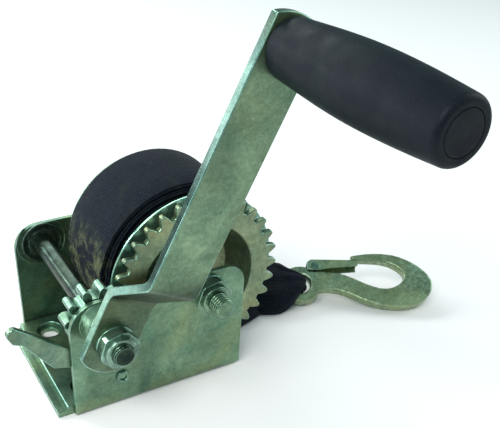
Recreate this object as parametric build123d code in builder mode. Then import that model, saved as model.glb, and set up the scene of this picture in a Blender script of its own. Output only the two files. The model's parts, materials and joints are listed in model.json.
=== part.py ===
from build123d import *
from math import acos, cos, pi, radians, sin, tan
import os

# Boat trailer winch: a U-shaped sheet steel frame carries a strap drum on a through bolt and
# a crank on a pinion shaft. The ten-tooth pinion turns the thirty-one-tooth drum gear.
# Frame: origin at the middle of the base on the mounting face, +X the way the strap pulls,
# -Y the crank side, +Z up. All sizes are millimetres.

# ---- driving dimensions -------------------------------------------------------------------
gear_module = 3.46
drum_teeth = 31
pinion_teeth = 10
pressure_angle = 25.0
gear_addendum = 3.3
gear_dedendum = 3.0
pinion_addendum = 2.5
pinion_dedendum = 3.9
tip_rounding = 0.9
tooth_backlash = 0.45

plate = 3.0
frame_width = 104.0
front_inset = 18.4
rear_inset = 25.7
plate_above_axle = 13.5
bend_radius = 4.5
front_corner = 17.0
rear_corner = 13.5
front_tab = 10.0
doubler_thickness = 3.5
doubler_step = 4.0

mount_inset = 12.5
mount_spacing_y = 65.0
mount_hole = 6.0
doubler_hole = 8.5

axle_radius = 6.35
running_clearance = 0.05
side_gap = 0.4

gear_thickness = 4.0
gear_gap = 8.5
flange_thickness = 1.8
flange_gap = 3.5
flange_under_teeth = 0.4
dish_radius = 38.5
dish_hub_radius = 29.0
dish_depth = 17.5
dish_wall = 2.5

roll_over_teeth = 1.27
roll_over_floor = 1.93
roll_width = 58.0
core_radius = 22.0
core_wall = 3.0
strap_thickness = 1.3
strap_width = 55.0

sleeve_radius = 8.6
bushing_radius = 11.4
boss_radius = 12.9
boss_top_radius = 11.2
boss_height = 8.0
far_ring_radius = 17.3
far_ring_width = 1.7

nut_across_flats = 21.5
nut_hex_height = 7.0
nut_collar_height = 3.0
nut_collar_radius = 9.4
insert_depth = 1.6
washer_radius = 11.8
washer_thickness = 2.0
head_height = 8.0
shaft_tip_over_nut = 3.0
bolt_tip_over_nut = 10.0
thread_pitch = 1.95
thread_depth = 0.6

crank_stand_off = 7.9
arm_width = 30.0
arm_thickness = 5.0
arm_offset = 30.0
arm_lean = 26.3
arm_reach = 178.5
arm_corner = 11.2
arm_crown = 4.3
hub_corner = 14.4
hub_crown = 6.2
joggle_start = 30.0
joggle_end = 50.0
arm_bend = 7.0

grip_length = 107.0
grip_arm_radius = 14.3
grip_belly_radius = 16.7
grip_end_radius = 13.9
grip_belly_share = 0.44
grip_pin_radius = 6.0
grip_recess_radius = 9.5
grip_recess_depth = 9.0
cap_thickness = 3.0

pawl_thickness = 4.0
pawl_gap = 1.0
pawl_rivet_radius = 3.0
rivet_head_radius = 4.4
rivet_head_height = 1.8
rivet_bore_radius = 2.4
rivet_bore_depth = 1.2
pawl_pivot_x = 12.6
pawl_nose_height = 25.4

ring_radius = 11.2
ring_bar = 3.8
hook_thickness = 8.0
hook_stand_off = 80.985
hook_offset_y = -6.0
hook_height = 11.0
latch_sheet = 1.2
ear_thickness = 3.6
latch_rivet_radius = 1.8
loop_bunch = 2.8
loop_gap = 1.8

# ---- derived places -----------------------------------------------------------------------
centre_distance = gear_module * (drum_teeth + pinion_teeth) / 2
gear_tip = gear_module * drum_teeth / 2 + gear_addendum
pinion_tip = gear_module * pinion_teeth / 2 + pinion_addendum
pawl_pivot_drop = pinion_tip + pawl_nose_height
flange_radius = gear_tip - flange_under_teeth
roll_radius = gear_tip + roll_over_teeth
floor_top = plate + doubler_thickness
axle_height = floor_top + roll_over_floor + roll_radius
frame_length = front_inset + centre_distance + rear_inset
frame_height = axle_height + plate_above_axle
frame_front = -frame_length / 2
frame_rear = frame_length / 2
hook_reach = frame_rear + hook_stand_off
pinion_x = frame_front + front_inset
drum_x = pinion_x + centre_distance
mount_spacing_x = frame_length - 2 * mount_inset

near_outer = -frame_width / 2
near_inner = near_outer + plate
far_inner = frame_width / 2 - plate
far_outer = frame_width / 2

gear_face = near_inner + gear_gap
gear_back = gear_face + gear_thickness
flange_face = gear_back + flange_gap
flange_back = flange_face + flange_thickness
hub_face = gear_face + dish_depth
hub_back = hub_face + dish_wall
core_start = hub_back
roll_start = hub_back + 0.5
roll_end = roll_start + roll_width
far_flange_face = roll_end + 0.5
far_flange_back = far_flange_face + 2.0

boss_face = near_outer - boss_height
hub_inner = boss_face - crank_stand_off
hub_outer = hub_inner - arm_thickness
arm_outer = hub_outer - arm_offset
arm_inner = arm_outer + arm_thickness
nut_height = nut_hex_height + nut_collar_height
crank_nut_face = hub_outer - washer_thickness
shaft_tip = crank_nut_face - nut_height - shaft_tip_over_nut
drum_nut_face = near_outer - washer_thickness
bolt_tip = drum_nut_face - nut_height - bolt_tip_over_nut
shaft_far_end = far_outer + 4.0

pinion_axis = Plane((pinion_x, 0, axle_height), x_dir=(1, 0, 0), z_dir=(0, -1, 0))
drum_axis = Plane((drum_x, 0, axle_height), x_dir=(1, 0, 0), z_dir=(0, -1, 0))
pawl_axis = Plane(
    (pinion_x + pawl_pivot_x, 0, axle_height - pawl_pivot_drop), x_dir=(1, 0, 0), z_dir=(0, -1, 0)
)

os.makedirs("parts", exist_ok=True)


def save(piece, name):
    """Label one finished piece and write it as its own STEP file."""
    piece.part.label = name
    export_step(piece.part, f"parts/{name}.step")


def at_y(axis_plane, y):
    """The plane across an axis that lies along Y, at the station y, facing the crank side."""
    return axis_plane.offset(-y)


def involute_point(base_radius, radius, turn):
    """A point of the involute of base_radius at the given radius, turned by an angle."""
    roll = acos(min(1.0, base_radius / radius))
    angle = turn + tan(roll) - roll
    return (radius * cos(angle), radius * sin(angle))


def tooth_face(teeth, phase, tip_radius, root_radius):
    """One involute tooth as points, its middle at phase degrees, thinned by the backlash."""
    pitch_radius = gear_module * teeth / 2
    base_radius = pitch_radius * cos(radians(pressure_angle))
    pitch_roll = tan(radians(pressure_angle)) - radians(pressure_angle)
    half = pi / (2 * teeth) - tooth_backlash / (4 * pitch_radius) + pitch_roll
    start = max(base_radius, root_radius)
    flank = [start + (tip_radius - tip_rounding - start) * step / 4 for step in range(5)]
    right = [involute_point(base_radius, radius, -half) for radius in flank]
    left = [(x, -y) for x, y in reversed(right)]
    foot = root_radius - 1.2
    foot_angle = half - (tan(acos(base_radius / start)) - acos(base_radius / start))
    foot_point = (foot * cos(foot_angle), -foot * sin(foot_angle))
    with BuildSketch(mode=Mode.PRIVATE) as tooth:
        with BuildLine():
            Line(foot_point, right[0])
            Spline(*right)
            ThreePointArc(right[-1], (tip_radius, 0), left[0])
            Spline(*left)
            Line(left[-1], (foot_point[0], -foot_point[1]))
            Line((foot_point[0], -foot_point[1]), foot_point)
        make_face()
    return tooth.sketch.rotate(Axis.Z, phase)


def gear_outline(teeth, phase, addendum, dedendum):
    """Add the whole toothed outline to the sketch that is being built."""
    tip_radius = gear_module * teeth / 2 + addendum
    root_radius = gear_module * teeth / 2 - dedendum
    Circle(root_radius)
    tooth = tooth_face(teeth, phase, tip_radius, root_radius)
    with PolarLocations(0, teeth):
        add(tooth)


def lock_nut(axis_plane, face_y):
    """Nylon insert lock nut that sits on the face at face_y and opens toward the crank side."""
    with BuildPart() as nut:
        with BuildSketch(at_y(axis_plane, face_y)):
            RegularPolygon(nut_across_flats / 2, 6, major_radius=False, rotation=12)
        extrude(amount=nut_hex_height)
        with BuildSketch(at_y(axis_plane, face_y)):
            Circle(nut_across_flats / 2 + 0.9)
        extrude(amount=nut_hex_height, mode=Mode.INTERSECT)
        with BuildSketch(at_y(axis_plane, face_y - nut_hex_height)):
            Circle(nut_collar_radius)
        extrude(amount=nut_collar_height)
        fillet(nut.edges().filter_by(GeomType.CIRCLE).group_by(Axis.Y)[0], 0.8)
        with BuildSketch(at_y(axis_plane, face_y)):
            Circle(axle_radius + running_clearance)
        extrude(amount=nut_height, mode=Mode.SUBTRACT)
        with BuildSketch(at_y(axis_plane, face_y - nut_height + 0.6)):
            Circle(nut_collar_radius - 1.2)
        extrude(amount=-insert_depth, mode=Mode.SUBTRACT)
    return nut


def ring(axis_plane, start_y, end_y, outer, inner, edge=0.0):
    """A plain tube, washer or bushing body between two stations along Y."""
    with BuildPart() as tube:
        with BuildSketch(at_y(axis_plane, end_y)):
            Circle(outer)
            Circle(inner, mode=Mode.SUBTRACT)
        extrude(amount=end_y - start_y)
        if edge:
            chamfer(tube.edges().filter_by(GeomType.CIRCLE), edge)
    return tube


def nut_insert(axis_plane, face_y):
    """The nylon ring held in the collar of a lock nut."""
    front = face_y - nut_height + 0.6
    return ring(
        axis_plane,
        front,
        front + insert_depth,
        nut_collar_radius - 1.2,
        axle_radius + running_clearance,
    )


def thread(axis_plane, tip_y, length):
    """Cut thread grooves into the shank being built, from the tip inward."""
    turns = int(length / thread_pitch)
    for turn in range(turns):
        start = tip_y + 1.2 + turn * thread_pitch
        with BuildSketch(Plane(axis_plane.origin, x_dir=(1, 0, 0), z_dir=(0, 0, 1))) as groove:
            with BuildLine():
                Polyline(
                    (axle_radius - thread_depth, start + thread_pitch / 2),
                    (axle_radius + 0.2, start + 0.1),
                    (axle_radius + 0.2, start + thread_pitch - 0.1),
                    close=True,
                )
            make_face()
        revolve(groove.sketch, axis=Axis(axis_plane.origin, (0, 1, 0)), mode=Mode.SUBTRACT)


# ---- frame --------------------------------------------------------------------------------
with BuildPart() as frame:
    with BuildSketch(Plane.YZ.offset(frame_front)):
        with Locations((0, frame_height / 2)):
            Rectangle(frame_width, frame_height)
        fillet(vertices().group_by(Axis.Y)[0], bend_radius)
        with BuildSketch(mode=Mode.PRIVATE) as inside:
            with Locations((0, frame_height / 2 + plate)):
                Rectangle(frame_width - 2 * plate, frame_height)
            fillet(inside.vertices().group_by(Axis.Y)[0], bend_radius - plate)
        add(inside.sketch, mode=Mode.SUBTRACT)
    extrude(amount=frame_length)
    top_corners = frame.edges().filter_by(Axis.Y).group_by(Axis.Z)[-1].group_by(Axis.X)
    fillet(top_corners[0], front_corner)
    top_corners = frame.edges().filter_by(Axis.Y).group_by(Axis.Z)[-1].group_by(Axis.X)
    fillet(top_corners[-1], rear_corner)
    # front tab of the floor
    with BuildSketch(Plane.XY):
        with Locations((frame_front - front_tab / 2 + 0.5, 0)):
            Rectangle(front_tab + 1.0, frame_width - 2 * bend_radius)
    extrude(amount=plate)
    # drawn boss round the pinion shaft on the crank side
    with BuildSketch(Plane(pinion_axis.origin, x_dir=(1, 0, 0), z_dir=(0, 0, 1))):
        with BuildLine():
            Polyline(
                (0, near_inner),
                (boss_radius, near_inner),
                (boss_radius, near_outer),
                (boss_radius - 0.5, near_outer - 1.0),
                (boss_top_radius, boss_face + 1.5),
                (boss_top_radius - 1.0, boss_face),
                (0, boss_face),
                close=True,
            )
        make_face()
    revolve(axis=Axis(pinion_axis.origin, (0, 1, 0)))
    # pressed ring round the shaft on the far plate
    with BuildSketch(at_y(pinion_axis, far_inner)):
        Circle(far_ring_radius)
        Circle(far_ring_radius - far_ring_width, mode=Mode.SUBTRACT)
        with Locations((0, plate_above_axle - 1.0)):
            Rectangle(60, 60, align=(Align.CENTER, Align.MAX), mode=Mode.INTERSECT)
    extrude(amount=0.6)
    # holes for the bushings, the drum bolt and the pawl rivet
    with BuildSketch(at_y(pinion_axis, near_inner)):
        Circle(sleeve_radius)
    extrude(amount=plate + boss_height + 1, mode=Mode.SUBTRACT)
    with BuildSketch(at_y(pinion_axis, far_outer)):
        Circle(sleeve_radius)
    extrude(amount=plate + 1, mode=Mode.SUBTRACT)
    with BuildSketch(at_y(drum_axis, far_outer)):
        Circle(axle_radius + running_clearance)
    extrude(amount=frame_width, mode=Mode.SUBTRACT)
    with BuildSketch(at_y(pawl_axis, near_inner)):
        Circle(pawl_rivet_radius + running_clearance)
    extrude(amount=plate, mode=Mode.SUBTRACT)
    # mounting holes
    with BuildSketch(Plane.XY):
        with GridLocations(mount_spacing_x, mount_spacing_y, 2, 2):
            Circle(mount_hole)
    extrude(amount=plate, mode=Mode.SUBTRACT)
save(frame, "frame")

with BuildPart() as base_doubler_plate:
    with BuildSketch(Plane.XY.offset(plate)):
        with Locations((-doubler_step / 2 - 1.0, 0)):
            Rectangle(frame_length + doubler_step - 2.0, frame_width - 2 * bend_radius)
        with GridLocations(mount_spacing_x, mount_spacing_y, 2, 2):
            Circle(doubler_hole, mode=Mode.SUBTRACT)
    extrude(amount=doubler_thickness)
    chamfer(base_doubler_plate.edges().filter_by(Axis.Y).group_by(Axis.Z)[-1], 0.5)
save(base_doubler_plate, "base_doubler_plate")

# ---- pinion shaft and its bushings --------------------------------------------------------
with BuildPart() as near_pinion_bushing:
    with BuildSketch(at_y(pinion_axis, near_inner)):
        Circle(sleeve_radius)
    extrude(amount=plate + boss_height)
    with BuildSketch(at_y(pinion_axis, near_inner + 1.3)):
        Circle(bushing_radius)
    extrude(amount=1.3)
    with BuildSketch(at_y(pinion_axis, near_inner + 1.3)):
        Circle(axle_radius + running_clearance)
    extrude(amount=plate + boss_height + 1.3, mode=Mode.SUBTRACT)
save(near_pinion_bushing, "near_pinion_bushing")

with BuildPart() as far_pinion_bushing:
    with BuildSketch(at_y(pinion_axis, far_outer)):
        Circle(sleeve_radius)
    extrude(amount=plate + 2.0)
    with BuildSketch(at_y(pinion_axis, far_inner)):
        Circle(14.0)
    extrude(amount=2.0)
    fillet(far_pinion_bushing.edges().filter_by(GeomType.CIRCLE).group_by(Axis.Y)[0], 0.6)
    with BuildSketch(at_y(pinion_axis, far_inner - 2.0)):
        Circle(12.4)
        Circle(bushing_radius - 2.0, mode=Mode.SUBTRACT)
    extrude(amount=-1.0, mode=Mode.SUBTRACT)
    with BuildSketch(at_y(pinion_axis, far_outer)):
        Circle(axle_radius + running_clearance)
    extrude(amount=plate + 2.0, mode=Mode.SUBTRACT)
save(far_pinion_bushing, "far_pinion_bushing")

with BuildPart() as pinion_shaft:
    with BuildSketch(at_y(pinion_axis, shaft_far_end)):
        Circle(axle_radius)
    extrude(amount=shaft_far_end - shaft_tip)
    chamfer(pinion_shaft.edges().filter_by(GeomType.CIRCLE), 0.8)
    with BuildSketch(at_y(pinion_axis, far_outer + 2.2)):
        Circle(axle_radius + 1)
        Circle(axle_radius - 0.6, mode=Mode.SUBTRACT)
    extrude(amount=1.4, mode=Mode.SUBTRACT)
    thread(pinion_axis, shaft_tip, nut_height + shaft_tip_over_nut)
save(pinion_shaft, "pinion_shaft")

shaft_retaining_ring = ring(
    pinion_axis, far_outer + 0.9, far_outer + 2.1, axle_radius + 3.0, axle_radius - 0.55
)
save(shaft_retaining_ring, "shaft_retaining_ring")

pinion_start = near_inner + 1.5
pinion_end = gear_back - 0.3
with BuildPart() as pinion_gear:
    with BuildSketch(at_y(pinion_axis, pinion_end)):
        gear_outline(pinion_teeth, 0, pinion_addendum, pinion_dedendum)
        Circle(axle_radius + running_clearance, mode=Mode.SUBTRACT)
    extrude(amount=pinion_end - pinion_start)
save(pinion_gear, "pinion_gear")

# ---- crank --------------------------------------------------------------------------------
crank_spacer = ring(
    pinion_axis, hub_inner, boss_face - side_gap, 11.0, axle_radius + running_clearance, 0.5
)
save(crank_spacer, "crank_spacer")

lean = radians(arm_lean)
arm_face = Plane(pinion_axis.origin, x_dir=(sin(lean), 0, cos(lean)), z_dir=(0, -1, 0))
arm_side = Plane(
    pinion_axis.origin, x_dir=(sin(lean), 0, cos(lean)), z_dir=(cos(lean), 0, -sin(lean))
)
grip_axis = Plane(
    arm_face.from_local_coords((arm_reach, 0, 0)), x_dir=(1, 0, 0), z_dir=(0, -1, 0)
)

with BuildPart() as crank_arm:
    with BuildSketch(arm_side):
        with BuildLine():
            Polyline(
                (-arm_width, -hub_inner),
                (joggle_start, -hub_inner),
                (joggle_end, -arm_inner),
                (arm_reach + arm_width, -arm_inner),
                (arm_reach + arm_width, -arm_outer),
                (joggle_end - 2.5, -arm_outer),
                (joggle_start - 2.5, -hub_outer),
                (-arm_width, -hub_outer),
                close=True,
            )
        make_face()
        fillet(vertices().filter_by(lambda v: 0 < v.X < arm_reach), arm_bend)
    extrude(amount=arm_width / 2, both=True)
    with BuildSketch(arm_face.offset(-hub_inner - 1)):
        with BuildLine():
            side = arm_width / 2
            top = arm_reach + arm_corner
            Line((-hub_corner, side), (top, side))
            ThreePointArc((top, side), (top + arm_crown, 0), (top, -side))
            Line((top, -side), (-hub_corner, -side))
            ThreePointArc((-hub_corner, -side), (-hub_corner - hub_crown, 0), (-hub_corner, side))
        make_face()
        Circle(axle_radius + running_clearance, mode=Mode.SUBTRACT)
        with Locations((arm_reach, 0)):
            Circle(grip_pin_radius, mode=Mode.SUBTRACT)
    extrude(amount=arm_offset + arm_thickness + 2, mode=Mode.INTERSECT)
save(crank_arm, "crank_arm")

crank_washer = ring(
    pinion_axis, crank_nut_face, hub_outer, washer_radius - 0.4, axle_radius + running_clearance, 0.3
)
save(crank_washer, "crank_washer")
save(lock_nut(pinion_axis, crank_nut_face), "crank_lock_nut")
save(nut_insert(pinion_axis, crank_nut_face), "crank_nut_insert")

# ---- grip ---------------------------------------------------------------------------------
grip_start = arm_outer - side_gap
grip_end = grip_start - grip_length
pin_end = grip_end + cap_thickness + 2.5

with BuildPart() as grip_pin:
    with BuildSketch(at_y(grip_axis, arm_inner)):
        Circle(grip_pin_radius)
    extrude(amount=arm_inner - pin_end)
    with BuildSketch(at_y(grip_axis, arm_inner + 2.8)):
        Circle(9.5)
    extrude(amount=2.8)
    fillet(grip_pin.edges().filter_by(GeomType.CIRCLE).group_by(Axis.Y)[-1], 2.2)
save(grip_pin, "grip_pin")

with BuildPart() as grip:
    with BuildSketch(Plane(grip_axis.origin, x_dir=(1, 0, 0), z_dir=(0, 0, 1))):
        bore = grip_pin_radius + running_clearance
        with BuildLine():
            Line((bore, grip_start), (grip_arm_radius, grip_start))
            Spline(
                (grip_arm_radius, grip_start),
                (grip_belly_radius, grip_start - grip_belly_share * grip_length),
                (grip_end_radius, grip_end),
                tangents=[(0.06, -1), (-0.09, -1)],
            )
            Polyline(
                (grip_end_radius, grip_end),
                (grip_recess_radius, grip_end),
                (grip_recess_radius, grip_end + grip_recess_depth),
                (bore, grip_end + grip_recess_depth),
                (bore, grip_start),
            )
        make_face()
    revolve(axis=Axis(grip_axis.origin, (0, 1, 0)))
    outer_ends = grip.edges().filter_by(GeomType.CIRCLE)
    fillet(outer_ends.filter_by(lambda e: e.radius > grip_end_radius - 0.5).group_by(Axis.Y)[0], 3.0)
    fillet(outer_ends.filter_by(lambda e: e.radius > grip_end_radius - 0.5).group_by(Axis.Y)[-1], 1.5)
save(grip, "grip")

grip_push_nut = ring(
    grip_axis, pin_end + 0.8, grip_end + grip_recess_depth - side_gap, 8.6,
    grip_pin_radius + running_clearance,
)
save(grip_push_nut, "grip_push_nut")

with BuildPart() as grip_end_cap:
    with BuildSketch(at_y(grip_axis, grip_end + cap_thickness)):
        Circle(grip_recess_radius - running_clearance)
    extrude(amount=cap_thickness)
    fillet(grip_end_cap.edges().filter_by(GeomType.CIRCLE).group_by(Axis.Y)[0], 0.8)
save(grip_end_cap, "grip_end_cap")

# ---- drum and its bolt --------------------------------------------------------------------
with BuildPart() as drum_axle_bolt:
    with BuildSketch(at_y(drum_axis, far_outer + washer_thickness)):
        Circle(axle_radius)
    extrude(amount=far_outer + washer_thickness - bolt_tip)
    chamfer(drum_axle_bolt.edges().filter_by(GeomType.CIRCLE).group_by(Axis.Y)[0], 0.9)
    with BuildSketch(at_y(drum_axis, far_outer + washer_thickness + head_height)):
        RegularPolygon(nut_across_flats / 2, 6, major_radius=False)
    extrude(amount=head_height)
    thread(drum_axis, bolt_tip, nut_height + bolt_tip_over_nut)
save(drum_axle_bolt, "drum_axle_bolt")

with BuildPart() as drum_axle_washers:
    for washer_y in (near_outer, far_outer + washer_thickness):
        with BuildSketch(at_y(drum_axis, washer_y)):
            Circle(washer_radius)
            Circle(axle_radius + running_clearance, mode=Mode.SUBTRACT)
        extrude(amount=washer_thickness)
save(drum_axle_washers, "drum_axle_washers")
save(lock_nut(drum_axis, drum_nut_face), "drum_lock_nut")
save(nut_insert(drum_axis, drum_nut_face), "drum_nut_insert")

axle_sleeve = ring(drum_axis, near_inner, far_inner, sleeve_radius, axle_radius + running_clearance)
save(axle_sleeve, "axle_sleeve")

with BuildPart() as drum_gear:
    with BuildSketch(at_y(drum_axis, gear_back)):
        gear_outline(drum_teeth, 180 + 180 / drum_teeth, gear_addendum, gear_dedendum)
        Circle(dish_radius + 8, mode=Mode.SUBTRACT)
    extrude(amount=gear_thickness)
    with BuildSketch(Plane(drum_axis.origin, x_dir=(1, 0, 0), z_dir=(0, 0, 1))):
        with BuildLine():
            Polyline(
                (dish_radius + 8, gear_face),
                (dish_radius, gear_face),
                (dish_hub_radius, hub_face),
                (bushing_radius, hub_face),
                (bushing_radius, hub_back),
                (dish_hub_radius + 1.6, hub_back),
                (dish_radius + 2.4, gear_back),
                (dish_radius + 8, gear_back),
                close=True,
            )
        make_face()
        fillet(vertices().filter_by(lambda v: bushing_radius + 1 < v.X < dish_radius + 3), 2.2)
    revolve(axis=Axis(drum_axis.origin, (0, 1, 0)))
save(drum_gear, "drum_gear")

# the flange is pushed onto the cone of the dish and welded there
cone_outer = dish_radius + 2.4
cone_slope = (cone_outer - dish_hub_radius - 1.6) / (hub_back - gear_back)
with BuildPart() as gear_side_flange:
    with BuildSketch(Plane(drum_axis.origin, x_dir=(1, 0, 0), z_dir=(0, 0, 1))):
        with BuildLine():
            Polyline(
                (cone_outer - cone_slope * flange_gap, flange_face),
                (flange_radius, flange_face),
                (flange_radius, flange_back),
                (cone_outer - cone_slope * (flange_back - gear_back), flange_back),
                close=True,
            )
        make_face()
    revolve(axis=Axis(drum_axis.origin, (0, 1, 0)))
save(gear_side_flange, "gear_side_flange")

drum_core = ring(drum_axis, core_start, far_flange_face, core_radius, core_radius - core_wall)
save(drum_core, "drum_core")

far_flange = ring(drum_axis, far_flange_face, far_flange_back, roll_radius - 3.0, bushing_radius)
save(far_flange, "far_flange")

bushing_length = 8.0
near_bushing_y = hub_face - 2.0
far_bushing_y = far_flange_back + 2.0
with BuildPart() as drum_bushings:
    for outer_end, inner_end in (
        (near_bushing_y, near_bushing_y + bushing_length),
        (far_bushing_y - bushing_length, far_bushing_y),
    ):
        with BuildSketch(at_y(drum_axis, inner_end)):
            Circle(bushing_radius)
            Circle(sleeve_radius + running_clearance, mode=Mode.SUBTRACT)
        extrude(amount=inner_end - outer_end)
save(drum_bushings, "drum_bushings")

with BuildPart() as drum_spacers:
    for outer_end, inner_end in (
        (near_inner, near_bushing_y - side_gap),
        (far_bushing_y + side_gap, far_inner),
    ):
        with BuildSketch(at_y(drum_axis, inner_end)):
            Circle(bushing_radius + 0.5)
            Circle(sleeve_radius + running_clearance, mode=Mode.SUBTRACT)
        extrude(amount=inner_end - outer_end)
save(drum_spacers, "drum_spacers")

strap_roll = ring(drum_axis, roll_start, roll_end, roll_radius, core_radius)
save(strap_roll, "strap_roll")

# ---- pawl ---------------------------------------------------------------------------------
pawl_near = near_inner + pawl_gap
pawl_far = pawl_near + pawl_thickness
rivet_end = pawl_far + 6.0

with BuildPart() as pawl_lever:
    with BuildSketch(at_y(pawl_axis, pawl_far)):
        with BuildLine():
            Polyline(
                (-61.2, 53.6),
                (-31.5, 29.6),
                (-28.4, 25.4),
                (-26.7, 29.0),
                (-24.9, 28.2),
                (-24.0, 22.0),
                (8.5, 5.0),
                (4.5, -8.0),
                (-6.5, -6.0),
                (-29.5, 14.7),
                (-40.6, 17.9),
                (-47.2, 26.5),
                (-57.6, 40.6),
                (-62.6, 42.8),
                (-66.0, 49.8),
                close=True,
            )
        make_face()
        fillet(vertices().sort_by(Axis.X)[:3], 2.8)
        fillet(vertices().filter_by(lambda v: -32 < v.X < -31), 2.5)
        fillet(vertices().filter_by(lambda v: v.X > -8), 3.5)
        Circle(pawl_rivet_radius + 2 * running_clearance, mode=Mode.SUBTRACT)
    extrude(amount=pawl_thickness)
save(pawl_lever, "pawl_lever")

pawl_washer = ring(
    pawl_axis, near_inner, pawl_near - 0.1, 6.0, pawl_rivet_radius + running_clearance
)
save(pawl_washer, "pawl_washer")

with BuildPart() as pawl_rivet:
    with BuildSketch(at_y(pawl_axis, rivet_end)):
        Circle(pawl_rivet_radius)
    extrude(amount=rivet_end - near_outer)
    with BuildSketch(at_y(pawl_axis, near_outer)):
        Circle(rivet_head_radius)
    extrude(amount=rivet_head_height)
    fillet(pawl_rivet.edges().filter_by(GeomType.CIRCLE).group_by(Axis.Y)[0], 0.9)
    with BuildSketch(at_y(pawl_axis, near_outer - rivet_head_height)):
        Circle(rivet_bore_radius)
    extrude(amount=-rivet_bore_depth, mode=Mode.SUBTRACT)
    with BuildSketch(at_y(pawl_axis, rivet_end + 1.5)):
        Circle(4.6)
    extrude(amount=1.5)
save(pawl_rivet, "pawl_rivet")

with BuildPart() as pawl_spring:
    for turn in range(4):
        with BuildSketch(Plane(pawl_axis.origin, x_dir=(1, 0, 0), z_dir=(0, 0, 1))):
            with Locations((pawl_rivet_radius + 1.2, pawl_far + 0.9 + turn * 1.35)):
                Circle(0.6)
        revolve(axis=Axis(pawl_axis.origin, (0, 1, 0)))
save(pawl_spring, "pawl_spring")

# ---- hook ---------------------------------------------------------------------------------
hook_plane = Plane(
    (hook_reach, hook_offset_y, hook_height),
    x_dir=(0.8927, -0.449, 0.0394),
    z_dir=(-0.241, -0.4016, 0.8835),
)
latch_pivot = (11.8, 14.0)

with BuildPart() as hook_body:
    with BuildSketch(hook_plane.offset(-hook_thickness / 2)):
        with BuildLine():
            Spline(
                (40.0, 22.4),
                (55.0, 24.2),
                (73.0, 22.2),
                (88.0, 14.3),
                (99.0, -3.5),
                (90.0, -17.0),
                (71.7, -21.5),
                (49.0, -16.5),
                (28.0, -6.5),
                (8.0, -8.0),
            )
            Polyline((8.0, -8.0), (8.0, 12.0), (8.9, 15.6), (11.8, 17.3), (15.0, 15.6), (18.5, 9.5))
            Spline(
                (18.5, 9.5),
                (27.0, 8.6),
                (38.0, 4.6),
                (49.7, -1.8),
                (62.0, -6.0),
                (73.0, -3.4),
                (79.0, 4.4),
                (71.7, 14.0),
                (61.3, 17.8),
                (42.0, 19.4),
            )
            Line((42.0, 19.4), (40.0, 22.4))
        make_face()
        Circle(ring_radius + ring_bar)
        Circle(ring_radius - ring_bar, mode=Mode.SUBTRACT)
        with Locations(latch_pivot):
            Circle(latch_rivet_radius, mode=Mode.SUBTRACT)
    extrude(amount=hook_thickness)
    # the ear that carries the latch is thinner than the hook
    for cut_start in (-hook_thickness / 2, ear_thickness / 2):
        with BuildSketch(hook_plane.offset(cut_start)):
            with Locations((13.0, 14.6)):
                Rectangle(12.0, 9.0)
        extrude(amount=(hook_thickness - ear_thickness) / 2, mode=Mode.SUBTRACT)
    rims = hook_body.edges().filter_by(GeomType.CIRCLE)
    chamfer(rims.filter_by(lambda e: abs(e.radius - ring_radius + ring_bar) < 0.1), 1.5)
save(hook_body, "hook_body")

latch_half = hook_thickness / 2 + side_gap + latch_sheet
with BuildPart() as hook_latch:
    with BuildSketch(hook_plane.offset(-latch_half)):
        with BuildLine():
            Polyline(
                (6.2, 11.2),
                (6.2, 17.6),
                (9.5, 19.6),
                (44.5, 17.8),
                (44.5, 13.2),
                (27.0, 12.2),
                (15.0, 10.6),
                close=True,
            )
        make_face()
        with Locations(latch_pivot):
            Circle(latch_rivet_radius, mode=Mode.SUBTRACT)
    extrude(amount=2 * latch_half)
    with BuildSketch(hook_plane.offset(-latch_half + latch_sheet)):
        with BuildLine():
            Polyline(
                (0.0, 0.0),
                (0.0, 26.0),
                (5.2, 26.0),
                (5.2, 16.4),
                (9.5, 18.3),
                (43.5, 16.6),
                (58.0, 0.0),
                close=True,
            )
        make_face()
    extrude(amount=2 * (latch_half - latch_sheet), mode=Mode.SUBTRACT)
save(hook_latch, "hook_latch")

with BuildPart() as hook_latch_rivet:
    with BuildSketch(hook_plane.offset(-latch_half - 0.8)):
        with Locations(latch_pivot):
            Circle(latch_rivet_radius - running_clearance)
    extrude(amount=2 * (latch_half + 0.8))
    for head_start in (-latch_half - 0.9, latch_half + 0.05):
        with BuildSketch(hook_plane.offset(head_start)):
            with Locations(latch_pivot):
                Circle(3.0)
        extrude(amount=0.85)
save(hook_latch_rivet, "hook_latch_rivet")

with BuildPart() as hook_latch_spring:
    coil_gap = (hook_thickness + ear_thickness) / 4
    for side in (-coil_gap - 0.5, -coil_gap + 0.5, coil_gap - 0.5, coil_gap + 0.5):
        pivot = hook_plane.from_local_coords((latch_pivot[0], latch_pivot[1], side))
        with Locations(Plane(pivot, x_dir=hook_plane.x_dir, z_dir=hook_plane.z_dir)):
            Torus(latch_rivet_radius + 0.65, 0.45)
save(hook_latch_spring, "hook_latch_spring")

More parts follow.
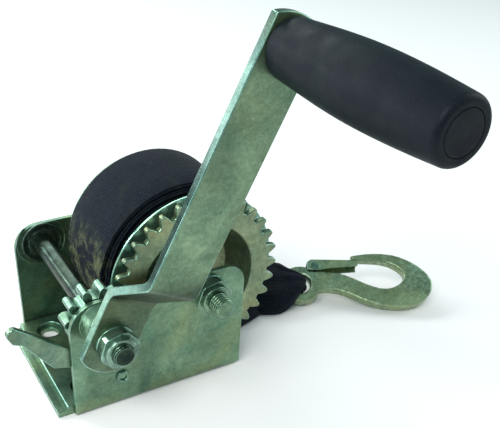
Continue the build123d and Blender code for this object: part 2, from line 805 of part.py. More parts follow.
# ---- strap tail ---------------------------------------------------------------------------
tail_top = axle_height - roll_radius - 0.4
tail_middle = tail_top - 0.65
tail_sections = [
    (drum_x - 6.0, 7.5, strap_width, strap_thickness, tail_middle),
    (frame_rear + 1.0, 7.5, strap_width, strap_thickness, tail_middle),
    (frame_rear + 14.0, 6.0, strap_width - 2.0, 4.0, 5.4),
]
bunch_sections = [
    (-36.0, 42.0, 8.0, 5.0),
    (-20.0, 36.0, 9.0, 3.4),
]
loop_centre = (-ring_radius, 0, 0)
loop_radius = ring_bar + loop_gap + loop_bunch
loop_plane = Plane(
    hook_plane.from_local_coords(loop_centre), x_dir=hook_plane.x_dir, z_dir=hook_plane.y_dir
)
with BuildPart() as strap_tail:
    for station, centre_y, width, height, centre_z in tail_sections:
        with BuildSketch(Plane((station, centre_y, centre_z), x_dir=(0, 1, 0), z_dir=(1, 0, 0))):
            Rectangle(width, height)
    # the gathered end lies along the hook
    for reach, width, height, lift in bunch_sections:
        middle = hook_plane.from_local_coords((reach, 0, lift))
        with BuildSketch(Plane(middle, x_dir=hook_plane.y_dir, z_dir=hook_plane.x_dir)):
            Rectangle(width, height)
    loft(ruled=True)
    # the sewn loop that holds the eye of the hook, its webbing bunched round
    with Locations(loop_plane):
        Torus(loop_radius, loop_bunch)
save(strap_tail, "strap_tail")
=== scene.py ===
import json
from math import cos, radians, sin

import bmesh
import bpy
import numpy as np
from mathutils import Matrix, Vector


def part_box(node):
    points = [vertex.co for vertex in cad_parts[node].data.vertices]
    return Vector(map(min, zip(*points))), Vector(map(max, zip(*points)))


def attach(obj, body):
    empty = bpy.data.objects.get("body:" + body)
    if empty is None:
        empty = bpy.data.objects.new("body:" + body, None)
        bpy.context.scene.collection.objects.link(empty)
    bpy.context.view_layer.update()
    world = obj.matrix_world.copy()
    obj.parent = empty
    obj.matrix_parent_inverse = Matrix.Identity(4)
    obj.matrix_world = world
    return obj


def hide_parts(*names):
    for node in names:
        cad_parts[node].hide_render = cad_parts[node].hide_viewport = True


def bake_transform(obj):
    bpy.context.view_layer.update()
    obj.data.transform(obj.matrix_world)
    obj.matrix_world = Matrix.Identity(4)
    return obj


# Boat trailer winch, put together as the real one is: frame first, then the shafts, the drum,
# the crank, the pawl, the strap and its hook. Metres, +Z up, -Y the crank side.
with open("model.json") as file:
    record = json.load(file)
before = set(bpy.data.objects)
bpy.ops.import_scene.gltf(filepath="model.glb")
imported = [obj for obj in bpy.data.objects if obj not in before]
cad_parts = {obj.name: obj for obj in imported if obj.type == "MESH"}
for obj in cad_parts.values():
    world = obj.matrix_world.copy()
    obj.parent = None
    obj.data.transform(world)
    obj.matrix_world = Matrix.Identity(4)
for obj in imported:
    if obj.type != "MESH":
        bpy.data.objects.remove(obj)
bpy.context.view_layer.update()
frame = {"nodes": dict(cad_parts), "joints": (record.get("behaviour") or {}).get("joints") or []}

# ---- studio -------------------------------------------------------------------------------
# A pale floor that everything stands on, with a large soft box in front on the left, a panel
# and a small lamp on the left, a long strip behind for the rims and a wide panel on the right.
floor_half = 2.5
floor_level = -0.0002
floor_mesh = bpy.data.meshes.new("studio_floor")
floor_mesh.from_pydata(
    [
        (-floor_half, -floor_half, floor_level),
        (floor_half, -floor_half, floor_level),
        (floor_half, floor_half, floor_level),
        (-floor_half, floor_half, floor_level),
    ],
    [],
    [(0, 1, 2, 3)],
)
studio_floor = bpy.data.objects.new("studio_floor", floor_mesh)
bpy.context.collection.objects.link(studio_floor)
floor_paint = bpy.data.materials.new("pale_floor_paint")
floor_paint.use_nodes = True
floor_paint.node_tree.nodes["Principled BSDF"].inputs["Base Color"].default_value = (0.95, 0.9, 0.9, 1)
floor_paint.node_tree.nodes["Principled BSDF"].inputs["Roughness"].default_value = 0.85
floor_mesh.materials.append(floor_paint)


def soft_box(name, place, target, width, height, watts, colour):
    """A rectangular area lamp that faces from its place towards its target."""
    data = bpy.data.lights.new(name, "AREA")
    data.shape = "RECTANGLE"
    data.size = width
    data.size_y = height
    data.energy = watts
    data.color = colour
    lamp = bpy.data.objects.new(name, data)
    lamp.location = place
    lamp.rotation_euler = (Vector(target) - Vector(place)).to_track_quat("-Z", "Y").to_euler()
    bpy.context.collection.objects.link(lamp)


white, cool, cooler, pale_green, warm = (
    (1.0, 1.0, 1.0),
    (0.92, 0.98, 1.0),
    (0.9, 0.97, 1.0),
    (0.95, 1.0, 1.0),
    (1.0, 1.0, 0.97),
)
for lamp_name, lamp_place, lamp_target, lamp_width, lamp_height, lamp_watts, lamp_colour in (
    ("front_left_box", (-0.9, -0.7, 1.3), (0, 0, 0.08), 0.7, 0.7, 19, white),
    ("left_panel", (-1.3, 0.2, 0.4), (0, 0, 0.06), 0.9, 0.6, 7, cool),
    ("rear_left_lamp", (-0.9, 1.1, 0.5), (0, 0, 0.08), 0.3, 0.3, 5, cooler),
    ("rear_strip", (-0.2, 1.1, 0.9), (0, 0, 0.1), 1.6, 0.35, 9, pale_green),
    ("right_panel", (1.3, -0.3, 0.8), (0, 0, 0.1), 0.8, 1.1, 7, warm),
):
    soft_box(
        lamp_name, lamp_place, lamp_target, lamp_width, lamp_height, lamp_watts, lamp_colour
    )

room = bpy.data.worlds.new("studio_room")
room.use_nodes = True
room.node_tree.nodes["Background"].inputs["Color"].default_value = (0.58, 0.84, 0.86, 1)
room.node_tree.nodes["Background"].inputs["Strength"].default_value = 0.5
bpy.context.scene.world = room
bpy.context.scene.view_settings.view_transform = "Standard"

camera_azimuth = radians(-29.986)
camera_elevation = radians(34.39)
camera_roll = radians(2.028)
camera_place = (-0.16199, -0.38348, 0.32717)
back = Vector(
    (
        sin(camera_azimuth) * cos(camera_elevation),
        -cos(camera_azimuth) * cos(camera_elevation),
        sin(camera_elevation),
    )
)
right = (-back).cross(Vector((0, 0, 1))).normalized()
up = right.cross(-back)
rolled_right = right * cos(camera_roll) + up * sin(camera_roll)
rolled_up = up * cos(camera_roll) - right * sin(camera_roll)
camera_data = bpy.data.cameras.new("studio_camera")
camera_data.sensor_width = 36
camera_data.lens = 54.71
camera_data.shift_x = 0.0910
camera_data.shift_y = 0.1599
studio_camera = bpy.data.objects.new("studio_camera", camera_data)
studio_camera.matrix_world = Matrix(
    (
        (rolled_right.x, rolled_up.x, back.x, camera_place[0]),
        (rolled_right.y, rolled_up.y, back.y, camera_place[1]),
        (rolled_right.z, rolled_up.z, back.z, camera_place[2]),
        (0, 0, 0, 1),
    )
)
bpy.context.collection.objects.link(studio_camera)
bpy.context.scene.camera = studio_camera

# ---- frame --------------------------------------------------------------------------------
# One strip of 3 mm steel, sheared, punched and bent into a U, then zinc plated with a yellow
# green passivation. Its rounded edges are painted in a lighter, more teal and smoother zinc
# than its faces: a painted highlight along every edge.


def link(tree, output, target):
    """Joins an output socket to a target socket, or sets the target to a plain value."""
    if isinstance(output, bpy.types.NodeSocket):
        tree.links.new(output, target)
    else:
        target.default_value = output


def noise(tree, place, scale, detail=3.0, roughness=0.55, distortion=0.0, squeeze=(1, 1, 1)):
    """Fractal noise of the object's own coordinates, its features 1/scale metres across."""
    mapping = tree.nodes.new("ShaderNodeMapping")
    mapping.inputs["Scale"].default_value = squeeze
    tree.links.new(place, mapping.inputs["Vector"])
    texture = tree.nodes.new("ShaderNodeTexNoise")
    texture.inputs["Scale"].default_value = scale
    texture.inputs["Detail"].default_value = detail
    texture.inputs["Roughness"].default_value = roughness
    texture.inputs["Distortion"].default_value = distortion
    tree.links.new(mapping.outputs["Vector"], texture.inputs["Vector"])
    return texture.outputs["Fac"]


def ramp(tree, factor, *stops):
    """A colour ramp through (position, colour) stops."""
    node = tree.nodes.new("ShaderNodeValToRGB")
    for _ in stops[2:]:
        node.color_ramp.elements.new(0.5)
    for element, (position, colour) in zip(node.color_ramp.elements, stops):
        element.position = position
        element.color = (*colour, 1)
    tree.links.new(factor, node.inputs["Fac"])
    return node.outputs["Color"]


def blend_colours(tree, mode, factor, first, second):
    """Mixes two colours in the given mode by the factor."""
    node = tree.nodes.new("ShaderNodeMix")
    node.data_type = "RGBA"
    node.blend_type = mode
    link(tree, factor, node.inputs[0])
    link(tree, first, node.inputs[6])
    link(tree, second, node.inputs[7])
    return node.outputs[2]


def between(tree, factor, low, high, from_low=0.3, from_high=0.7):
    """Maps a factor linearly from its usual range onto low to high."""
    node = tree.nodes.new("ShaderNodeMapRange")
    node.inputs["From Min"].default_value = from_low
    node.inputs["From Max"].default_value = from_high
    node.inputs["To Min"].default_value = low
    node.inputs["To Max"].default_value = high
    tree.links.new(factor, node.inputs["Value"])
    return node.outputs["Result"]


def product(tree, first, second):
    """One factor times another."""
    node = tree.nodes.new("ShaderNodeMath")
    node.operation = "MULTIPLY"
    tree.links.new(first, node.inputs[0])
    tree.links.new(second, node.inputs[1])
    return node.outputs[0]


def bumped(tree, shader, height, distance, strength=1.0, normal=None):
    """Raises the shader's normal by height times distance."""
    node = tree.nodes.new("ShaderNodeBump")
    node.inputs["Strength"].default_value = strength
    node.inputs["Distance"].default_value = distance
    tree.links.new(height, node.inputs["Height"])
    if normal is not None:
        tree.links.new(normal, node.inputs["Normal"])
    tree.links.new(node.outputs["Normal"], shader.inputs["Normal"])
    return node.outputs["Normal"]


def new_material(name):
    """An empty Principled material with its tree, shader and object coordinates."""
    material = bpy.data.materials.new(name)
    material.use_nodes = True
    tree = material.node_tree
    place = tree.nodes.new("ShaderNodeTexCoord").outputs["Object"]
    return material, tree, tree.nodes["Principled BSDF"], place


def zinc(name, pale, deep, dust, smooth, rough, mottle=45.0, waves=0.00012):
    """Zinc plating: clouds 1/mottle metres across from deep to pale, patches of the yellow
    passivation, darker stains, zinc crystals and a fine grain, roughness from smooth to rough
    in uneven patches, and a faint waviness of the surface, waves metres high."""
    material, tree, shader, place = new_material(name)
    clouds = noise(tree, place, mottle, detail=5.0, roughness=0.6, distortion=0.6)
    tint = ramp(tree, clouds, (0.34, deep), (0.66, pale))
    patches = noise(tree, place, 17.0, detail=3.0, roughness=0.5, distortion=1.2)
    yellow = between(tree, patches, 0.0, 0.7, 0.46, 0.66)
    tint = blend_colours(tree, "MIX", yellow, tint, (*dust, 1))
    stains = noise(tree, place, 28.0, detail=6.0, roughness=0.72, distortion=0.9)
    stain_share = between(tree, stains, 0.72, 1.14, 0.36, 0.62)
    tint = blend_colours(tree, "MULTIPLY", 1.0, tint, stain_share)
    grain = noise(tree, place, 1500.0, detail=2.0)
    speckle = between(tree, grain, 0.86, 1.12)
    tint = blend_colours(tree, "MULTIPLY", 1.0, tint, speckle)
    crystals = between(tree, noise(tree, place, 380.0, detail=5.0, roughness=0.7), 0.78, 1.22)
    tint = blend_colours(tree, "MULTIPLY", 1.0, tint, crystals)
    tree.links.new(tint, shader.inputs["Base Color"])
    shader.inputs["Metallic"].default_value = 0.85
    polish = between(tree, noise(tree, place, 70.0, detail=6.0, roughness=0.65), smooth, rough)
    tree.links.new(polish, shader.inputs["Roughness"])
    sheet = noise(tree, place, 55.0, detail=2.0)
    wavy = bumped(tree, shader, sheet, waves)
    bumped(tree, shader, grain, 0.00002, strength=0.6, normal=wavy)
    return material


def rounded_copy(node, body, slot, width, *finishes, angle=32.0):
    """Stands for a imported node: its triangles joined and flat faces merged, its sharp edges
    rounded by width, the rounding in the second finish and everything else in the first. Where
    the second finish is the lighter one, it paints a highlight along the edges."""
    mesh = frame["nodes"][node].data.copy()
    mesh.name = node + "_rounded"
    mesh.materials.clear()
    joined = bmesh.new()
    joined.from_mesh(mesh)
    bmesh.ops.remove_doubles(joined, verts=joined.verts, dist=2e-6)
    bmesh.ops.dissolve_limit(joined, angle_limit=radians(0.6), verts=joined.verts, edges=joined.edges)
    weight = joined.edges.layers.float.new("bevel_weight_edge")
    for edge in joined.edges:
        if edge.is_manifold and edge.calc_face_angle_signed() > radians(angle):
            edge[weight] = 1.0
    joined.to_mesh(mesh)
    joined.free()
    mesh.shade_smooth()
    mesh.set_sharp_from_angle(angle=radians(angle))
    for finish in finishes:
        mesh.materials.append(finish)
    piece = bpy.data.objects.new(node + "_rounded", mesh)
    bpy.context.collection.objects.link(piece)
    rounding = piece.modifiers.new("rounded_edges", "BEVEL")
    rounding.width = width
    rounding.segments = 2
    rounding.limit_method = "WEIGHT"
    rounding.use_clamp_overlap = True
    if len(finishes) > 1:
        rounding.material = 1
    flats = piece.modifiers.new("flat_faces", "WEIGHTED_NORMAL")
    flats.keep_sharp = True
    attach(piece, body)
    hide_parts(node)
    return piece


sheet_zinc = zinc(
    "frame_sheet_zinc",
    pale=(0.186, 0.298, 0.192),
    deep=(0.104, 0.207, 0.137),
    dust=(0.205, 0.270, 0.134),
    smooth=0.26,
    rough=0.42,
)
# Painted highlight: the lighter, teal zinc that rounded edges are painted in, here and on the other
# plated parts.
edge_highlight_zinc = zinc(
    "painted_edge_highlight_zinc",
    pale=(0.316, 0.515, 0.424),
    deep=(0.158, 0.328, 0.261),
    dust=(0.255, 0.391, 0.254),
    smooth=0.18,
    rough=0.30,
)
rounded_copy("frame", "frame", "zinc_sheet", 0.0005, sheet_zinc, edge_highlight_zinc)

# ---- base doubler -------------------------------------------------------------------------
# A second, thicker plate laid in the floor of the frame under the mounting bolts, sheared
# from the same stock and plated with it.
rounded_copy("base_doubler_plate", "frame", "zinc_sheet", 0.0005, sheet_zinc, edge_highlight_zinc)

# ---- pinion shaft and its bushings --------------------------------------------------------
# Cold drawn bar with a thread at the crank end, pressed into the ten-tooth pinion, turning in
# two sintered bushings. Its plating is darker and streaked along the bar.
shaft_zinc = zinc(
    "drawn_bar_zinc",
    pale=(0.036, 0.066, 0.044),
    deep=(0.008, 0.020, 0.016),
    dust=(0.030, 0.046, 0.024),
    smooth=0.20,
    rough=0.36,
    mottle=120.0,
)
bolt_zinc = zinc(
    "bolt_zinc",
    pale=(0.219, 0.359, 0.254),
    deep=(0.073, 0.156, 0.120),
    dust=(0.158, 0.242, 0.128),
    smooth=0.18,
    rough=0.38,
    mottle=160.0,
)
sintered = zinc(
    "sintered_bushing",
    pale=(0.120, 0.185, 0.150),
    deep=(0.030, 0.055, 0.050),
    dust=(0.080, 0.100, 0.055),
    smooth=0.16,
    rough=0.34,
    mottle=300.0,
)
rounded_copy("pinion_shaft", "crank", "zinc_bolt", 0.0002, shaft_zinc, bolt_zinc)
rounded_copy("pinion_gear", "crank", "gear_zinc", 0.0004, bolt_zinc, edge_highlight_zinc)
rounded_copy("shaft_retaining_ring", "crank", "spring_steel", 0.0001, shaft_zinc)
rounded_copy("near_pinion_bushing", "frame", "bushing", 0.0002, sintered)
rounded_copy("far_pinion_bushing", "frame", "bushing", 0.0002, sintered)

# ---- drum ---------------------------------------------------------------------------------
# The thirty-one-tooth gear is blanked and dished in one press stroke and welded to its side
# flange; a tube core, a far flange and two bushings finish the drum.
gear_zinc = zinc(
    "gear_face_zinc",
    pale=(0.262, 0.325, 0.196),
    deep=(0.165, 0.235, 0.148),
    dust=(0.290, 0.305, 0.150),
    smooth=0.30,
    rough=0.46,
    mottle=60.0,
)
# Painted highlight: the lighter zinc that the rounded edges of the gear teeth and its side flange are
# painted in.
tooth_highlight_zinc = zinc(
    "painted_tooth_highlight_zinc",
    pale=(0.304, 0.500, 0.396),
    deep=(0.133, 0.297, 0.234),
    dust=(0.243, 0.375, 0.241),
    smooth=0.16,
    rough=0.30,
    mottle=90.0,
)
rounded_copy("drum_gear", "drum", "gear_zinc", 0.0005, gear_zinc, tooth_highlight_zinc)
rounded_copy("gear_side_flange", "drum", "gear_zinc", 0.0004, edge_highlight_zinc, tooth_highlight_zinc)
rounded_copy("drum_core", "drum", "gear_zinc", 0.0003, sheet_zinc)
rounded_copy("far_flange", "drum", "gear_zinc", 0.0004, sheet_zinc, edge_highlight_zinc)
rounded_copy("drum_bushings", "drum", "bushing", 0.0002, sintered)

# ---- drum bolt, sleeve and spacers --------------------------------------------------------
# A plain hex bolt from the far side carries the drum on a steel sleeve between the plates; a
# lock nut on the crank side holds it.
nut_zinc = zinc(
    "nut_zinc",
    pale=(0.304, 0.469, 0.367),
    deep=(0.061, 0.117, 0.092),
    dust=(0.182, 0.281, 0.170),
    smooth=0.10,
    rough=0.24,
    mottle=90.0,
)
nylon, nylon_tree, nylon_shader, nylon_place = new_material("lock_ring_nylon")
nylon_grain = noise(nylon_tree, nylon_place, 900.0)
nylon_tint = ramp(nylon_tree, nylon_grain, (0.3, (0.006, 0.01, 0.01)), (0.7, (0.02, 0.03, 0.03)))
nylon_tree.links.new(nylon_tint, nylon_shader.inputs["Base Color"])
nylon_polish = between(nylon_tree, noise(nylon_tree, nylon_place, 700.0), 0.35, 0.55)
nylon_tree.links.new(nylon_polish, nylon_shader.inputs["Roughness"])
for node, width in (
    ("drum_axle_bolt", 0.0002),
    ("drum_axle_washers", 0.0003),
    ("axle_sleeve", 0.0002),
    ("drum_spacers", 0.0002),
):
    rounded_copy(node, "frame", "zinc_bolt", width, bolt_zinc, edge_highlight_zinc)
rounded_copy("drum_lock_nut", "frame", "zinc_bolt", 0.0005, nut_zinc, edge_highlight_zinc)
rounded_copy("drum_nut_insert", "frame", "nylon", 0.0002, nylon)

# ---- crank arm ----------------------------------------------------------------------------
# Flat bar with a joggle that carries the grip clear of the nuts, rounded at both ends, held
# on the shaft by a washer and a lock nut.
arm_zinc_with_painted_shade = zinc(
    "crank_arm_zinc_painted_shade",
    pale=(0.205, 0.300, 0.186),
    deep=(0.130, 0.222, 0.142),
    dust=(0.225, 0.280, 0.138),
    smooth=0.28,
    rough=0.44,
    mottle=55.0,
)
# Painted highlight and shade: the arm's side faces in the lighter edge colours, darkened higher up.
arm_side_highlight_and_shade_zinc = zinc(
    "arm_side_zinc_painted_highlight_and_shade",
    pale=(0.316, 0.515, 0.424),
    deep=(0.158, 0.328, 0.261),
    dust=(0.255, 0.391, 0.254),
    smooth=0.18,
    rough=0.30,
)


def painted_shade_by_height(material, *stops):
    """Multiplies a material's colour by grey stops of (height in metres, grey): painted shade
    that differs between the hub, the joggle and the upper arm."""
    tree = material.node_tree
    shader = tree.nodes["Principled BSDF"]
    axes = tree.nodes.new("ShaderNodeSeparateXYZ")
    tree.links.new(tree.nodes["Texture Coordinate"].outputs["Object"], axes.inputs["Vector"])
    low, high = stops[0][0], stops[-1][0]
    share = between(tree, axes.outputs["Z"], 0.0, 1.0, low, high)
    greys = [((height - low) / (high - low), (grey, grey, grey)) for height, grey in stops]
    tint = shader.inputs["Base Color"].links[0].from_socket
    tint = blend_colours(tree, "MULTIPLY", 1.0, tint, ramp(tree, share, *greys))
    tree.links.new(tint, shader.inputs["Base Color"])


# Painted shade: the arm's faces are darkened round the hub and over the joggle.
painted_shade_by_height(arm_zinc_with_painted_shade, (0.078, 0.62), (0.098, 0.36), (0.108, 0.36), (0.120, 1.0))
# Painted shade: the side faces darken above the hub, whose sides keep the painted highlight.
painted_shade_by_height(arm_side_highlight_and_shade_zinc, (0.108, 1.0), (0.122, 0.2))
crank_arm_rounded = rounded_copy("crank_arm", "crank", "zinc_arm", 0.0006, arm_zinc_with_painted_shade, edge_highlight_zinc)
# The side faces, picked by their direction, take the side finish with its painted highlight and shade.
crank_arm_rounded.data.materials.append(arm_side_highlight_and_shade_zinc)
for face in crank_arm_rounded.data.polygons:
    if abs(face.normal.y) < 0.1:
        face.material_index = 2
rounded_copy("crank_spacer", "crank", "zinc_bolt", 0.0003, bolt_zinc, edge_highlight_zinc)
rounded_copy("crank_washer", "crank", "zinc_bolt", 0.0003, bolt_zinc, edge_highlight_zinc)
rounded_copy("crank_lock_nut", "crank", "zinc_bolt", 0.0005, nut_zinc, edge_highlight_zinc)
rounded_copy("crank_nut_insert", "crank", "nylon", 0.0002, nylon)

# ---- grip ---------------------------------------------------------------------------------
# A hollow moulded plastic handle that turns on a riveted pin, with a push nut and a plug in
# its outer end. The moulding has a fine spark-eroded texture and faint flow marks.
grip_plastic, grip_tree, grip_shader, grip_place = new_material("grip_moulded_plastic")
grip_clouds = noise(grip_tree, grip_place, 38.0, detail=4.0, roughness=0.6)
grip_tint = ramp(grip_tree, grip_clouds, (0.3, (0.001, 0.002, 0.007)), (0.72, (0.006, 0.011, 0.014)))
grip_texture = noise(grip_tree, grip_place, 1100.0, detail=2.0)
grip_speckle = between(grip_tree, grip_texture, 0.7, 1.35)
grip_tint = blend_colours(grip_tree, "MULTIPLY", 1.0, grip_tint, grip_speckle)
grip_tree.links.new(grip_tint, grip_shader.inputs["Base Color"])
grip_polish = between(grip_tree, noise(grip_tree, grip_place, 90.0, detail=4.0), 0.42, 0.6)
grip_tree.links.new(grip_polish, grip_shader.inputs["Roughness"])
grip_shader.inputs["Specular IOR Level"].default_value = 0.14
bumped(grip_tree, grip_shader, grip_texture, 0.0001, strength=0.8)
rounded_copy("grip", "grip", "grip_plastic", 0.0004, grip_plastic)
rounded_copy("grip_end_cap", "grip", "grip_plastic", 0.0003, grip_plastic)
rounded_copy("grip_pin", "crank", "zinc_bolt", 0.0003, bolt_zinc, edge_highlight_zinc)
rounded_copy("grip_push_nut", "crank", "spring_steel", 0.0002, shaft_zinc)

# ---- pawl ---------------------------------------------------------------------------------
# A blanked lever on a tubular rivet through the crank-side plate, with a small wire spring
# behind it.
pawl_zinc = zinc(
    "pawl_zinc",
    pale=(0.185, 0.275, 0.190),
    deep=(0.105, 0.185, 0.130),
    dust=(0.180, 0.230, 0.120),
    smooth=0.24,
    rough=0.40,
    mottle=70.0,
)
rounded_copy("pawl_lever", "pawl", "zinc_sheet", 0.0005, pawl_zinc, edge_highlight_zinc)
rounded_copy("pawl_washer", "frame", "zinc_bolt", 0.0001, bolt_zinc)
rounded_copy("pawl_rivet", "frame", "zinc_bolt", 0.0003, bolt_zinc, edge_highlight_zinc)
rounded_copy("pawl_spring", "frame", "spring_steel", 0.0001, shaft_zinc, angle=80.0)

# ---- strap on the drum --------------------------------------------------------------------
# Black polyester webbing, 55 mm wide, wound about twenty-seven turns of 1.3 mm on the core.
# The turns wander a little from side to side between the flanges.
drum_low, drum_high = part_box("strap_roll")
drum_centre = (drum_low + drum_high) / 2
web_width = 0.055
web_pitch = 0.0013
web_thickness = 0.0012
selvedge_share = 0.35
core_radius = 0.0222
steps_a_turn = 72
roll_radius = (drum_high.z - drum_low.z) / 2


def ribbon(name, middle, thickness):
    """Webbing with a cut section: a grid of middle points, rows along and columns across, is
    lifted by half the thickness along its normal for the upper face and dropped by as much
    for the lower one, thinner at the selvedges. The ends are closed. Its UV map holds metres
    along and across."""
    normal = np.cross(np.gradient(middle, axis=0), np.gradient(middle, axis=1))
    normal /= np.linalg.norm(normal, axis=-1, keepdims=True)
    rows, columns = middle.shape[:2]
    rim = np.ones(columns)
    rim[[0, -1]] = selvedge_share
    lift = normal * rim[None, :, None] * thickness / 2
    ring = np.concatenate([middle + lift, (middle - lift)[:, ::-1]], axis=1)
    count = 2 * columns
    row, column = np.meshgrid(np.arange(rows - 1), np.arange(count), indexing="ij")
    first = row * count + column
    second = row * count + (column + 1) % count
    faces = np.stack([first, second, second + count, first + count], axis=-1).reshape(-1, 4)
    ends = [list(range(count))[::-1], list(range((rows - 1) * count, rows * count))]
    mesh = bpy.data.meshes.new(name)
    mesh.from_pydata(ring.reshape(-1, 3).tolist(), [], faces.tolist() + ends)
    centre = middle[:, columns // 2]
    along = np.concatenate([[0], np.cumsum(np.linalg.norm(np.diff(centre, axis=0), axis=-1))])
    across = np.concatenate([[0], np.cumsum(np.linalg.norm(np.diff(middle[0], axis=0), axis=-1))])
    across = np.concatenate([across, across[::-1]])
    corner = np.empty(len(mesh.loops), dtype=np.int32)
    mesh.loops.foreach_get("vertex_index", corner)
    uv = mesh.uv_layers.new(name="webbing")
    metres = np.stack([along[corner // count], across[corner % count]], axis=-1)
    uv.data.foreach_set("uv", metres.ravel())
    outward = bmesh.new()
    outward.from_mesh(mesh)
    bmesh.ops.recalc_face_normals(outward, faces=outward.faces)
    outward.to_mesh(mesh)
    outward.free()
    mesh.shade_smooth()
    mesh.set_sharp_from_angle(angle=radians(60))
    piece = bpy.data.objects.new(name, mesh)
    bpy.context.collection.objects.link(piece)
    return piece, float(along[-1])


def wound_middle():
    """The middle of the wound web: the radius grows by one pitch a turn, and the web shifts
    along the axis by two slow sines of the turn."""
    turns = (roll_radius - core_radius - web_thickness) / web_pitch
    turn = np.linspace(0, turns, int(turns * steps_a_turn) + 1)
    angle = -2 * np.pi * (turn - turns) - np.pi / 2
    radius = core_radius + web_thickness / 2 + web_pitch * turn
    shift = 0.0008 * np.sin(1.9 * turn) + 0.0005 * np.sin(5.3 * turn + 1.0)
    across = np.array([-0.5, -0.485, -0.17, 0.17, 0.485, 0.5]) * web_width
    x = drum_centre.x + radius * np.cos(angle)
    z = drum_centre.z + radius * np.sin(angle)
    y = drum_centre.y + across[None, :] + shift[:, None]
    return np.stack([x[:, None] + 0 * y, y, z[:, None] + 0 * y], axis=-1)


webbing = bpy.data.materials.new("black_webbing")
webbing.use_nodes = True
web_tree = webbing.node_tree
web_shader = web_tree.nodes["Principled BSDF"]
web_uv = web_tree.nodes.new("ShaderNodeUVMap")
web_uv.uv_map = "webbing"
web_place = web_tree.nodes.new("ShaderNodeTexCoord").outputs["Object"]


def yarn_wave(tree, axis, pitch):
    """A sine across the webbing with one crest every pitch metres along the given axis."""
    mapping = tree.nodes.new("ShaderNodeMapping")
    mapping.inputs["Scale"].default_value = (1 / pitch, 1 / pitch, 1)
    tree.links.new(web_uv.outputs["UV"], mapping.inputs["Vector"])
    wave = tree.nodes.new("ShaderNodeTexWave")
    wave.bands_direction = axis
    wave.wave_profile = "SIN"
    wave.inputs["Scale"].default_value = 0.3142
    wave.inputs["Distortion"].default_value = 0.6
    wave.inputs["Detail"].default_value = 1.0
    tree.links.new(mapping.outputs["Vector"], wave.inputs["Vector"])
    return wave.outputs["Fac"]


pick_pitch = 0.0016
warp_pitch = 0.0022
picks = yarn_wave(web_tree, "X", pick_pitch)
ends_of_warp = yarn_wave(web_tree, "Y", warp_pitch)
weave = product(web_tree, picks, ends_of_warp)
web_fluff = noise(web_tree, web_place, 420.0, detail=4.0, roughness=0.7)
web_tint = ramp(web_tree, web_fluff, (0.30, (0.001, 0.003, 0.009)), (0.72, (0.008, 0.014, 0.022)))
web_relief = between(web_tree, weave, 0.75, 1.25, 0.0, 0.8)
web_tint = blend_colours(web_tree, "MULTIPLY", 1.0, web_tint, web_relief)
web_drift = noise(web_tree, web_place, 30.0, detail=5.0, roughness=0.7, distortion=0.8)
web_dust = between(web_tree, web_drift, 0.0, 0.25, 0.56, 0.75)
web_tint = blend_colours(web_tree, "MIX", web_dust, web_tint, (0.05, 0.055, 0.03, 1))

# A smudge of dried mud on the lower half of the roll, on the side away from the hook.
web_axes = web_tree.nodes.new("ShaderNodeSeparateXYZ")
web_tree.links.new(web_place, web_axes.inputs["Vector"])
mud_x = (drum_low.x + 0.004, drum_low.x + 0.034)
mud_z = (drum_centre.z - 0.004, drum_centre.z + 0.030)
web_front = between(web_tree, web_axes.outputs["X"], 1.0, 0.0, *mud_x)
web_below = between(web_tree, web_axes.outputs["Z"], 1.0, 0.0, *mud_z)
web_streaks = noise(web_tree, web_place, 70.0, detail=8.0, roughness=0.85, distortion=0.5)
web_smudge = between(web_tree, web_streaks, 0.0, 1.0, 0.48, 0.66)
web_mud = product(web_tree, product(web_tree, web_front, web_below), web_smudge)
web_tint = blend_colours(web_tree, "MIX", web_mud, web_tint, (0.27, 0.31, 0.14, 1))
web_tree.links.new(web_tint, web_shader.inputs["Base Color"])
web_polish = between(web_tree, weave, 0.75, 0.6, 0.0, 1.0)
web_tree.links.new(web_polish, web_shader.inputs["Roughness"])
web_shader.inputs["Sheen Weight"].default_value = 0.03
web_shader.inputs["Specular IOR Level"].default_value = 0.11
web_shader.inputs["Sheen Roughness"].default_value = 0.5
bumped(web_tree, web_shader, weave, 0.0003, strength=0.8)

wound_strap, wound_length = ribbon("wound_strap", wound_middle(), web_thickness)
wound_strap.data.materials.append(webbing)
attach(wound_strap, "drum")
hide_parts("strap_roll")

# ---- strap end ----------------------------------------------------------------------------
# The free end of the same webbing leaves the drum flat, gathers behind the frame with its
# edges rolled under, and is sewn in a narrow loop round the eye of the hook.
joint_of = {joint["name"]: joint for joint in frame["joints"]}
eye_bar = Vector(joint_of["hook_swing"]["pos_m"])
hook_side = -Vector(joint_of["hook_swing"]["axis"]).normalized()
hook_normal = -Vector(joint_of["latch_swing"]["axis"]).normalized()
hook_along = hook_side.cross(hook_normal)
tail_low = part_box("strap_tail")[0]
frame_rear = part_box("frame")[1].x
eye_radius = 0.0112


def from_eye(along, side, lift):
    """A point given in millimetres along the hook, across it and above it, from its eye."""
    return tuple(
        eye_bar
        + hook_along * (eye_radius + along / 1000)
        + hook_side * (side / 1000)
        + hook_normal * (lift / 1000)
    )


def smooth_through(stations, count):
    """Values at evenly spread parameters on a smooth curve through rows of stations: between
    two rows a Hermite cubic that takes the mean slope of its neighbours at each of them."""
    rows = np.array(stations, dtype=float)
    knots = np.concatenate([[0], np.cumsum(np.linalg.norm(np.diff(rows[:, :3], axis=0), axis=-1))])
    slope = np.gradient(rows, knots, axis=0)
    t = np.linspace(0, knots[-1], count)
    i = np.clip(np.searchsorted(knots, t, side="right") - 1, 0, len(knots) - 2)
    step = (knots[i + 1] - knots[i])[:, None]
    f = (t - knots[i])[:, None] / step
    return (
        rows[i] * (1 + 2 * f) * (1 - f) ** 2
        + slope[i] * step * f * (1 - f) ** 2
        + rows[i + 1] * f**2 * (3 - 2 * f)
        + slope[i + 1] * step * f**2 * (f - 1)
    )


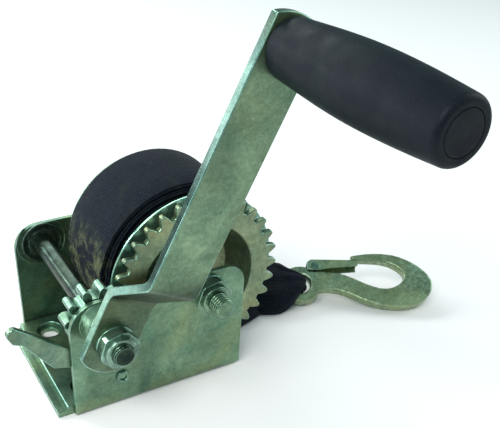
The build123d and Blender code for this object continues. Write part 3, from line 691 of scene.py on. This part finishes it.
def gathered_middle():
    """The free end's middle: along a smooth line the section is an arch, half a width across
    times the sine and half a height up times the cosine of an angle that runs from minus to
    plus the curl. The section turns from the level strap to the hook and stays square to the
    line, over the eye, down through it and back under, and never sinks into the ground."""
    lie = 0.0009
    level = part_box("base_doubler_plate")[1].z + lie
    drift = 0.0075
    flat = (web_width / 2, 0.0002, 0.15)
    stations = (
        (tail_low.x + 0.0005, drift, level, *flat),
        (frame_rear - 0.012, drift, level, *flat),
        (frame_rear + 0.002, drift, level, *flat),
        (frame_rear + 0.014, 0.006, level, 0.0268, 0.0012, 0.9),
        (*from_eye(-36, -1.5, 4.8), 0.0235, 0.0034, 1.5),
        (*from_eye(-27, -2.0, 5.0), 0.0225, 0.0046, 1.8),
        (*from_eye(-19, -2.2, 5.8), 0.0215, 0.0046, 1.8),
        (*from_eye(-12, -1.5, 7.2), 0.0180, 0.0026, 1.6),
        (*from_eye(-6, -0.5, 7.4), 0.0120, 0.0024, 1.7),
        (*from_eye(0.0, 0.5, 4.8), 0.0066, 0.0026, 2.2),
        (*from_eye(1.4, 0.5, -1.5), 0.0052, 0.0026, 2.6),
        (*from_eye(-4, 0, -7.0), 0.0050, 0.0016, 2.4),
        (*from_eye(-13, 0, -7.0), 0.0050, 0.0012, 1.6),
        (*from_eye(-24, 0, -2.5), 0.0080, 0.0010, 1.0),
    )
    rows_along, points_across = 150, 61
    line = smooth_through(stations, rows_along)
    ahead = np.gradient(line[:, :3], axis=0)
    ahead /= np.linalg.norm(ahead, axis=-1, keepdims=True)
    turn_end = eye_bar.x - 0.02
    turn = np.clip((line[:, 0] - frame_rear) / (turn_end - frame_rear), 0, 1)[:, None]
    turn = np.maximum.accumulate(turn)
    side = np.array([[0, 1, 0]]) * (1 - turn) + np.array([hook_side]) * turn
    side -= ahead * (side * ahead).sum(axis=-1, keepdims=True)
    side /= np.linalg.norm(side, axis=-1, keepdims=True)
    rise = np.cross(ahead, side)
    v = np.linspace(-1, 1, points_across)
    curl = line[:, 5:6]
    reach = np.where(curl > np.pi / 2, 1.0, np.sin(np.minimum(curl, np.pi / 2)))
    out = line[:, 3:4] * np.sin(v * curl) / reach
    lift = line[:, 4:5] * (2 * (np.cos(v * curl) - np.cos(curl)) / (1 - np.cos(curl)) - 1)
    crease_height, crease_count = 0.0005, 5
    creases = crease_height * turn * np.sin(crease_count * np.pi * v[None, :] + 5 * turn)
    middle = (
        line[:, None, :3]
        + side[:, None, :] * out[..., None]
        + rise[:, None, :] * (lift + creases)[..., None]
    )
    middle[..., 2] = np.maximum(middle[..., 2], web_thickness)
    return middle


gathered_strap, gathered_length = ribbon("gathered_strap", gathered_middle(), web_thickness)
gathered_strap.data.materials.append(webbing)
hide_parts("strap_tail")
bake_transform(gathered_strap)

# ---- hook ---------------------------------------------------------------------------------
# A drop-forged flat hook with an eye, zinc plated over the forging's sandy skin.
hook_zinc = zinc(
    "forged_hook_zinc",
    pale=(0.400, 0.550, 0.375),
    deep=(0.140, 0.225, 0.145),
    dust=(0.340, 0.400, 0.205),
    smooth=0.22,
    rough=0.42,
    mottle=320.0,
    waves=0.0003,
)
forging_mesh = frame["nodes"]["hook_body"].data.copy()
forging_mesh.name = "hook_forging"
forging_mesh.materials.clear()
forging_mesh.materials.append(hook_zinc)
joined = bmesh.new()
joined.from_mesh(forging_mesh)
bmesh.ops.remove_doubles(joined, verts=joined.verts, dist=2e-6)
joined.to_mesh(forging_mesh)
joined.free()
hook_forging = bpy.data.objects.new("hook_forging", forging_mesh)
bpy.context.collection.objects.link(hook_forging)
skin = hook_forging.modifiers.new("even_skin", "REMESH")
skin.mode = "VOXEL"
skin.voxel_size = 0.0006
skin.use_smooth_shade = True
draft = hook_forging.modifiers.new("rounded_by_the_die", "SMOOTH")
draft.factor = 0.5
draft.iterations = 12
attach(hook_forging, "hook")
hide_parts("hook_body")

# ---- safety latch -------------------------------------------------------------------------
# A folded sheet latch on a rivet, pushed against the hook's tip by a small coiled spring.
latch_zinc = zinc(
    "latch_zinc",
    pale=(0.370, 0.500, 0.320),
    deep=(0.180, 0.275, 0.172),
    dust=(0.350, 0.400, 0.200),
    smooth=0.22,
    rough=0.38,
    mottle=150.0,
)
rounded_copy("hook_latch", "latch", "latch_zinc", 0.0003, latch_zinc, edge_highlight_zinc)
rounded_copy("hook_latch_rivet", "hook", "zinc_bolt", 0.0002, bolt_zinc)
rounded_copy("hook_latch_spring", "hook", "spring_steel", 0.0001, shaft_zinc, angle=80.0)
